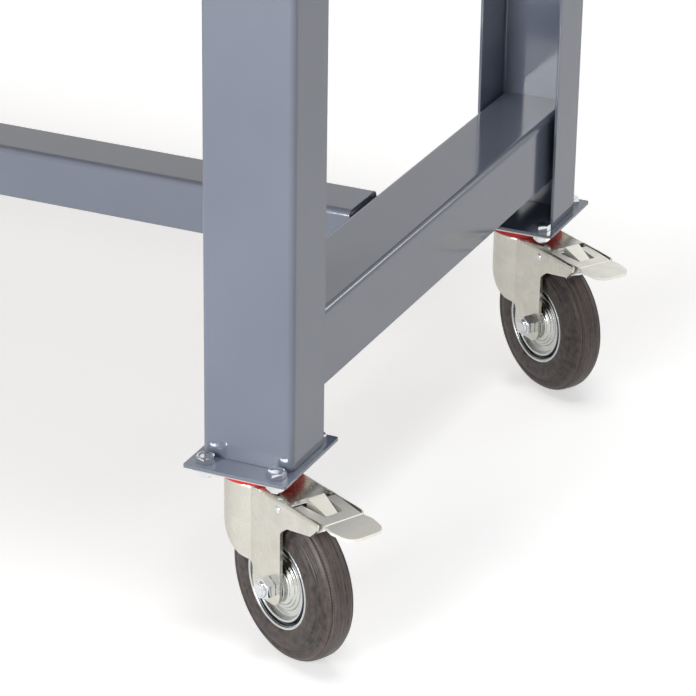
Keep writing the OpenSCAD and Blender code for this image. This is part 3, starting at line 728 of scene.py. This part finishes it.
@dataclass
class Studio:
    """White room with a pale floor, soft lamps and the photograph's camera.

    The room's light falls off towards its dark side, behind the camera on the right, as the cosine of the
    angle to that side rises from `dark_from` to `dark_full`. The camera sees plain white walls and a glowing
    floor, and reflections get the share `mirrored` of both.
    """

    eye: tuple[float, float, float] = (1.52299, -2.09958, 1.17028)
    azimuth: float = 24.33156
    elevation: float = 24.58390
    roll: float = 0.86294
    focal: float = 161.36
    sensor: float = 36.0
    world_light: float = 0.36
    dark_side: tuple[float, float, float] = (0.87, -0.47, 0.1)
    dark_from: float = -0.1
    dark_full: float = 0.8
    dark_share: float = 0.3
    floor_tone: str = "#e2e2e2"
    floor_half: float = 12.0
    floor_glow: float = 0.5
    mirrored: float = 0.8
    lamps: tuple[Lamp, ...] = (
        Lamp("front", (-0.2, -3.8, 1.45), (0.6, -0.3, 0.3), 1.6, 108.0),
        Lamp("over", (1.5, -0.8, 5.0), (0.6, -0.2, 0.0), 1.6, 100.0),
        Lamp("rim", (2.6, 3.6, 1.9), (0.7, 0.0, 0.25), 0.7, 7.0),
    )

    def camera(self) -> None:
        """Stands the camera where the corner fit of the photograph puts it."""
        a, e, roll = (math.radians(v) for v in (self.azimuth, self.elevation, self.roll))
        ahead = np.array([-math.sin(a) * math.cos(e), math.cos(a) * math.cos(e), -math.sin(e)])
        level = np.array([math.cos(a), math.sin(a), 0.0])
        above = np.cross(level, ahead)
        right = math.cos(roll) * level + math.sin(roll) * above
        up = math.cos(roll) * above - math.sin(roll) * level
        data = bpy.data.cameras.new("photo_camera")
        data.lens = self.focal
        data.sensor_width = self.sensor
        camera = bpy.data.objects.new("photo_camera", data)
        camera.matrix_world = pose_of(right, up, -ahead, self.eye)
        bpy.context.scene.collection.objects.link(camera)
        bpy.context.scene.camera = camera

    def floor(self) -> None:
        """Lays a wide pale floor; a glow that only seen rays get lifts it to white outside the shadow."""
        half = self.floor_half
        corners = np.array([[-half, -half, 0], [half, -half, 0], [half, half, 0], [-half, half, 0]])
        mesh = bpy.data.meshes.new("floor")
        mesh.from_pydata(corners.tolist(), [], [[0, 1, 2, 3]])
        floor = bpy.data.objects.new("floor", mesh)
        bpy.context.scene.collection.objects.link(floor)
        made = bpy.data.materials.new("studio_floor")
        made.use_nodes = True
        tree = made.node_tree
        tree.nodes.clear()
        paper = add(tree, "ShaderNodeBsdfDiffuse", {"Color": linear(self.floor_tone)})
        glow = add(tree, "ShaderNodeEmission", {"Color": WHITE, "Strength": self.floor_glow})
        both = add(tree, "ShaderNodeAddShader", {0: paper.outputs[0], 1: glow.outputs[0]})
        choice = {0: self.seen(tree), 1: paper.outputs[0], 2: both.outputs[0]}
        mixed = add(tree, "ShaderNodeMixShader", choice)
        add(tree, "ShaderNodeOutputMaterial", {"Surface": mixed.outputs[0]})
        mesh.materials.append(made)

    def seen(self, tree: Tree) -> Socket:
        """Finds how much of the bright background a ray sees.

        Args:
            tree: The node tree of the floor or the world.

        Returns:
            One for rays from the camera and through glass, and `mirrored` for those from gloss.
        """
        path = add(tree, "ShaderNodeLightPath")
        gloss = {0: path.outputs["Is Glossy Ray"], 1: self.mirrored}
        dimmed = add(tree, "ShaderNodeMath", gloss, operation="MULTIPLY")
        pair = {0: path.outputs["Is Camera Ray"], 1: dimmed.outputs[0]}
        both = add(tree, "ShaderNodeMath", pair, operation="MAXIMUM")
        rest = {0: both.outputs[0], 1: path.outputs["Is Transmission Ray"]}
        return add(tree, "ShaderNodeMath", rest, operation="MAXIMUM").outputs[0]

    def room(self) -> None:
        """Surrounds the object with a room that looks white and lights it softly."""
        world = bpy.data.worlds.new("studio")
        world.use_nodes = True
        tree = world.node_tree
        tree.nodes.clear()
        way = add(tree, "ShaderNodeTexCoord").outputs["Generated"]
        toward = add(tree, "ShaderNodeVectorMath", {0: way, 1: self.dark_side}, operation="DOT_PRODUCT")
        fall = {"Value": toward.outputs["Value"], "From Min": self.dark_from, "From Max": self.dark_full}
        fall |= {"To Min": self.world_light, "To Max": self.world_light * self.dark_share}
        level = add(tree, "ShaderNodeMapRange", fall).outputs[0]
        sky = add(tree, "ShaderNodeBackground", {"Color": WHITE, "Strength": level})
        wall = add(tree, "ShaderNodeBackground", {"Color": WHITE, "Strength": 1.0})
        choice = {0: self.seen(tree), 1: sky.outputs[0], 2: wall.outputs[0]}
        mixed = add(tree, "ShaderNodeMixShader", choice)
        add(tree, "ShaderNodeOutputWorld", {"Surface": mixed.outputs[0]})
        bpy.context.scene.world = world


@dataclass
class Solids:
    """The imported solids, each with its finish and the rounding of its edges in millimetres.

    The skipped ones keep their plain edges: they are hidden, or the scene has its own pieces for them.
    """

    sheet_edge: float = 0.5
    zinc_edge: float = 0.35
    board_edge: float = 2.0
    weld: float = 0.002
    flat_degrees: float = 0.5
    edge_degrees: float = 35.0
    skipped: tuple[str, ...] = ("ball_race", "bearing", "tyre", "rim")

    def build(self) -> None:
        """Dresses every solid by its name."""
        for name, obj in frame["nodes"].items():
            finish = self.finish_of(name)
            dress(obj, finish)
            if not name.startswith(self.skipped):
                self.soften(obj, self.edge_of(finish))
            LOG.info("%s is %s", name, finish.name)

    def soften(self, obj: bpy.types.Object, width: float) -> None:
        """Rounds a solid's edges a little, as pressing, sawing or paint leaves them.

        Args:
            obj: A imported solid; its mesh stays and only modifiers are added.
            width: Width of the rounding in millimetres.
        """
        weld = obj.modifiers.new("weld", "WELD")
        weld.merge_threshold = self.weld * MM
        flat = obj.modifiers.new("flat", "DECIMATE")
        flat.decimate_type = "DISSOLVE"
        flat.angle_limit = math.radians(self.flat_degrees)
        bevel = obj.modifiers.new("edge", "BEVEL")
        bevel.width = width * MM
        bevel.segments = 2
        bevel.limit_method = "ANGLE"
        bevel.angle_limit = math.radians(self.edge_degrees)
        bevel.use_clamp_overlap = True
        even = obj.modifiers.new("even", "WEIGHTED_NORMAL")
        even.keep_sharp = True
        for face in obj.data.polygons:
            face.use_smooth = True

    def finish_of(self, name: str) -> Finish:
        """Finds a solid's finish by its name.

        Args:
            name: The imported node's name.

        Returns:
            The finish.
        """
        table = (
            ("worktop_screws", Look.FASTENER_ZINC), ("worktop", Look.BEECH), ("seal_ring", Look.SEAL_PLASTIC),
            ("tyre", Look.TYRE_RUBBER), ("rim", Look.RIM_ZINC), ("bearing", Look.BEARING_STEEL),
            ("ball_race", Look.BEARING_STEEL), ("fork", Look.CASTER_ZINC), ("fixed_fork", Look.CASTER_ZINC),
            ("top_plate", Look.CASTER_ZINC), ("brake_pedal", Look.PEDAL_ZINC), ("leg", Look.ENAMEL),
            ("foot_plate", Look.ENAMEL), ("lower_rail", Look.ENAMEL), ("upper_rail", Look.ENAMEL),
            ("stringer", Look.ENAMEL), ("beam", Look.ENAMEL),
        )
        for start, look in table:
            if name.startswith(start):
                return look.value
        return Look.FASTENER_ZINC.value

    def edge_of(self, finish: Finish) -> float:
        """Gives the edge rounding that suits a finish.

        Args:
            finish: The finish of the solid.

        Returns:
            The width in millimetres.
        """
        if isinstance(finish, Beech):
            return self.board_edge
        return self.sheet_edge if isinstance(finish, Enamel) else self.zinc_edge


@dataclass(frozen=True)
class Ridges:
    """Rings moulded round a tyre's side: their depth and pitch, and the middle and width of their band.

    They are drawn coarser than real ones, so that they show.
    """

    depth: float
    pitch: float
    middle: float
    width: float

    def at(self, radius: np.ndarray) -> np.ndarray:
        """Gives the depth below the plain side at a radius."""
        wave = 0.5 - 0.5 * np.cos(2 * math.pi * radius / self.pitch)
        return self.depth * wave * bump_of(radius, self.middle, self.width)


@dataclass
class Wheel:
    """Rubber tyre on a pressed steel rim, turned about the wheel's spin joint.

    Sizes are in millimetres, from the wheel's axis outwards and from its middle along the axis. Profile
    rows are a radius, a distance along the axis and the radius of the bend there. Ridges keep to the outer
    `side_w` of the tyre's half width and grooves to the outer `tread_h` of its radius.
    """

    spin: str
    body: str
    end: str
    outer: float = 62.5
    half: float = 16.0
    side_w: float = 6.5
    tread_h: float = 6.0
    lip_r: float = 35.6
    lip: float = 15.1
    seat_r: float = 33.1
    groove_y: float = 8.8
    groove: float = 1.2
    groove_spread: float = 1.9
    parting: float = 0.18
    parting_w: float = 1.6
    coarse: Ridges = Ridges(0.5, 2.3, 53.6, 10.5)
    fine: Ridges = Ridges(0.3, 1.8, 42.0, 6.0)
    hub_r: float = 11.0
    hub: float = 18.5
    sample: float = 0.33
    steps: int = 160

    def seat(self) -> Seat:
        """Stands the local Y axis on the joint's axis.

        Returns:
            The wheel's place.
        """
        joint = next(j for j in frame["joints"] if j["name"] == self.spin)
        n = joint["axis"]
        return Seat(tuple(joint["pos_m"]), (n[1], -n[0], 0.0), (n[0], n[1], 0.0))

    def tyre_profile(self) -> np.ndarray:
        """Works out the rubber's section.

        The plain section is sampled evenly, with the tread's middle halfway along it, and hills of half a
        cosine wave go in or out along its normal: moulding ridges on the sides, two tread grooves and the
        parting line.

        Returns:
            Rows of radius and distance along the axis.
        """
        r, h, lip = self.lip_r, self.half, self.lip
        side = [
            [self.seat_r, lip - 1.8, 0], [r + 0.1, lip - 1.8, 0], [r + 0.1, lip, 0.3],
            [r + 2.0, h - 0.2, 1.2], [r + 6.0, h, 4], [r + 12.2, h - 0.5, 0.6],
            [r + 12.8, h - 1.4, 0.4], [self.outer - 10, h - 3, 2], [self.outer, h - 3, 9.5],
        ]
        points = resample(rounded(other_side(side) + side), self.sample)
        crest = int(np.argmax(points[:, 0] - np.abs(points[:, 1])))
        points = np.roll(points, len(points) // 2 - crest, 0)
        ahead = np.roll(points, -1, 0) - np.roll(points, 1, 0)
        normal = np.stack([-ahead[:, 1], ahead[:, 0]], -1) / np.linalg.norm(ahead, axis=1, keepdims=True)
        inside = [r + 13, 0]
        normal *= np.sign((normal * (points - inside)).sum(1, keepdims=True))
        radius, across = points[:, 0], np.abs(points[:, 1])
        on_side = (across > self.half - self.side_w) & (radius > r + 1)
        ridges = self.coarse.at(radius) + self.fine.at(radius)
        on_tread = radius > self.outer - self.tread_h
        grooves = self.groove * bump_of(across, self.groove_y, self.groove * self.groove_spread)
        parting = self.parting * bump_of(across, 0.0, self.parting_w)
        depth = np.where(on_side, ridges, 0) + np.where(on_tread, grooves - parting, 0)
        return points - normal * np.maximum(depth, radius - self.outer)[:, None]

    def rim_profile(self) -> np.ndarray:
        """Lists the pressed disc's beads and steps from the hub's bore out to the lip, then mirrors them.

        Returns:
            Rows of radius and distance along the axis.
        """
        lip = self.lip
        side = [
            [self.hub_r, self.hub, 0.3], [self.hub_r + 2.5, self.hub, 0.6],
            [self.hub_r + 2.6, lip - 1.0, 1.2], [15.4, lip - 1.4, 1.2],
            [16.6, lip - 2.2, 0.5], [17.2, lip - 3.3, 0.4], [19.0, lip - 3.5, 0.5],
            [19.6, lip - 4.6, 0.4], [21.6, lip - 4.8, 0.5], [22.2, lip - 5.9, 0.4], [26.6, lip - 6.1, 1.0],
            [28.2, lip - 1.4, 0.9], [29.9, lip - 1.4, 0.8], [32.2, lip - 4.4, 0.6], [33.0, lip - 4.4, 0.4],
            [self.seat_r + 0.4, lip, 0.8], [self.lip_r, lip, 0.45],
            [self.lip_r, lip - 1.6, 0.1], [self.seat_r - 0.05, lip - 1.6, 0],
        ]
        return rounded(side + other_side(side), steps=5)

    def build(self) -> None:
        """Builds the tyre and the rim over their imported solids."""
        tyre = Shape(f"moulded_tyre_{self.end}")
        tyre.grid(lathe(self.tyre_profile(), self.steps), True, self.seat())
        tyre.build(Look.TYRE_RUBBER.value, self.body, "tyre_rubber", (f"tyre_{self.end}",))
        rim = Shape(f"pressed_rim_{self.end}")
        rim.grid(lathe(self.rim_profile(), self.steps), True, self.seat())
        rim.build(Look.RIM_ZINC.value, self.body, "rim_zinc", (f"rim_{self.end}",))


@dataclass
class Fasteners:
    """Hexagon bolts, nuts and lock nuts of the casters, in millimetres.

    A fork's cheek lies `cheek` out from its wheel's middle. The bevel's and the washer face's radii are
    shares of the width across flats, and a nut's collar is a share of its height.
    """

    bolt_d: float = 8.0
    flats: float = 13.0
    head: float = 5.3
    nut: float = 6.2
    grip: float = 5.0
    spacing: tuple[float, float] = (57.0, 68.0)
    axle_d: float = 9.0
    axle_flats: float = 15.4
    axle_nut: float = 10.0
    cheek: float = 21.5
    bevel: float = 0.47
    bevel_degrees: float = 30.0
    washer: float = 0.46
    collar: float = 0.28
    seed: int = 5
    steps: int = 96

    def hexagon(self, flats: float, height: float, stations: list) -> np.ndarray:
        """Works out a hexagonal solid about the local Z axis.

        A station is a radius and a height; a radius of None takes the hexagon's. The upper bevel is a
        cone: it lowers the rim by the radius beyond the bevel's start times the tangent of its angle.

        Args:
            flats: Width across flats.
            height: Height of the hexagon.
            stations: Rows of radius and height, from the lower pole to the upper one.

        Returns:
            A grid of points round the axis and along the stations.
        """
        t = np.linspace(0, 2 * math.pi, self.steps, endpoint=False)
        rim = hex_radius(t, flats)
        slope = math.tan(math.radians(self.bevel_degrees))
        cone = height - np.maximum(rim - flats * self.bevel, 0) * slope
        rows = []
        for radius, level in stations:
            reach = rim if radius is None else np.full_like(t, radius)
            lift = np.minimum(cone, level) if radius is None else np.full_like(t, level)
            rows.append(np.stack([reach * np.cos(t), reach * np.sin(t), lift], -1))
        return np.stack(rows, 1)

    def bolt(self) -> np.ndarray:
        """Works out a caster bolt, head upwards: a washer face and a cold formed, slightly dished head.

        Returns:
            A grid of points round the axis and along the stations.
        """
        shank_r, grip, head = self.bolt_d / 2, self.grip, self.head
        rim = self.flats * self.bevel
        shank = [(0.0, -grip), (shank_r - 0.6, -grip), (shank_r, 0.6 - grip), (shank_r, 0)]
        face = [(self.flats * self.washer, 0), (rim, 0.4)]
        sides = [(None, 0.4), (None, 0.9), (None, head)]
        top = [(rim, head), (rim - 0.5, head + 0.05), (rim - 1.1, head - 0.15), (rim - 1.6, head - 0.5)]
        dish = [(rim - 2.6, head - 0.62), (rim / 3, head - 0.7), (0.0, head - 0.7)]
        return self.hexagon(self.flats, head, [*shank, *face, *sides, *top, *dish])

    def nut_of(self, d: float, flats: float, height: float) -> np.ndarray:
        """Works out a nut over a bolt's end, with a turned collar that holds its lock ring, seat at Z = 0.

        Args:
            d: The bolt's diameter.
            flats: Width across flats.
            height: Height with the collar.

        Returns:
            A grid of points round the axis and along the stations.
        """
        body = height - height * self.collar
        rim = flats * self.bevel
        low = [(0.0, 0.0), (rim - 0.2, 0.0), (rim, 0.35), (None, 0.35), (None, body)]
        turned = rim - 0.7
        upper = [(rim, body), (turned, body + 0.1), (turned, height - 0.9), (turned - 0.35, height - 0.3)]
        mouth = [(turned - 1.0, height), (d / 2 + 0.7, height), (d / 2 + 0.25, height - 0.5)]
        tip = height + 0.3
        end = [(d / 2 + 0.1, height - 0.8), (d / 2, tip - 0.5), (d / 2 - 0.6, tip), (0.0, tip)]
        return self.hexagon(flats, body, [*low, *upper, *mouth, *end])

    def build(self) -> None:
        """Builds the caster bolts and nuts and the axles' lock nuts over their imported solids."""
        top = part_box("foot_plate_front_right")[1].z
        seat_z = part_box("caster_nuts")[1].z
        bolts = Shape("hexagon_bolts")
        nuts = Shape("hexagon_nuts")
        corners = [(a, b) for a in (-1, 1) for b in (-1, 1)]
        places = [(x, y, a, b) for x, y in self.casters() for a, b in corners]
        turns = np.random.default_rng(self.seed).uniform(0, math.pi / 3, len(places))
        for (x, y, a, b), turn in zip(places, turns):
            c, s = math.cos(turn), math.sin(turn)
            at = (x + a * self.spacing[0] / 2 * MM, y + b * self.spacing[1] / 2 * MM)
            up = Seat((*at, top), (c, s, 0.0), (-s, c, 0.0))
            down = Seat((*at, seat_z), (c, s, 0.0), (s, -c, 0.0), (0.0, 0.0, -1.0))
            bolts.grid(self.bolt(), False, up)
            nuts.grid(self.nut_of(self.bolt_d, self.flats, self.nut), False, down)
        bolts.build(Look.FASTENER_ZINC.value, "bench", "fastener_zinc", ("caster_bolts",))
        nuts.build(Look.FASTENER_ZINC.value, "bench", "fastener_zinc", ("caster_nuts",))
        for side in ("front", "back"):
            self.axle_nut_on((f"wheel_{side}_right_spin",), f"caster_{side}", f"axle_nut_{side}")
        self.axle_nut_on(("wheel_front_left_spin", "wheel_back_left_spin"), "bench", "fixed_axle_nuts")

    def axle_nut_on(self, spins: tuple[str, ...], body: str, node: str) -> None:
        """Builds the lock nuts of some axles against the forks' near cheeks.

        Args:
            spins: The wheels' spin joints, whose axes the nuts are on.
            body: The body that carries the nuts.
            node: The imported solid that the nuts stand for.
        """
        nuts = Shape(f"lock_nut_of_{node}")
        for joint in (j for j in frame["joints"] if j["name"] in spins):
            n = np.array(joint["axis"])
            origin = np.array(joint["pos_m"]) - n * self.cheek * MM
            seat = Seat(tuple(origin), (0.0, 0.0, 1.0), (n[1], -n[0], 0.0), tuple(-n))
            nuts.grid(self.nut_of(self.axle_d, self.axle_flats, self.axle_nut), False, seat)
        nuts.build(Look.FASTENER_ZINC.value, body, "fastener_zinc", (node,))

    def casters(self) -> list[tuple[float, float]]:
        """Gives the middles of the four foot plates, from the joints over and under them.

        Returns:
            Their X and Y, the two on the right first.
        """
        joints = {j["name"]: j["pos_m"] for j in frame["joints"]}
        right = [joints[f"caster_{side}_swivel"] for side in ("front", "back")]
        left = [joints[f"wheel_{side}_left_spin"] for side in ("front", "back")]
        return [(p[0], p[1]) for p in right + left]


def main() -> None:
    """Builds the studio and the workbench."""
    logging.basicConfig(level=logging.INFO, format="%(name)s: %(message)s")
    bpy.context.scene.view_settings.view_transform = "Standard"
    studio = Studio()
    studio.camera()
    studio.floor()
    studio.room()
    for lamp in studio.lamps:
        lamp.hang()
    Solids().build()
    for end in ("front_right", "front_left", "back_right", "back_left"):
        Wheel(f"wheel_{end}_spin", f"wheel_{end}", end).build()
    Fasteners().build()
    bpy.context.view_layer.update()


if __name__ == "__main__":
    main()
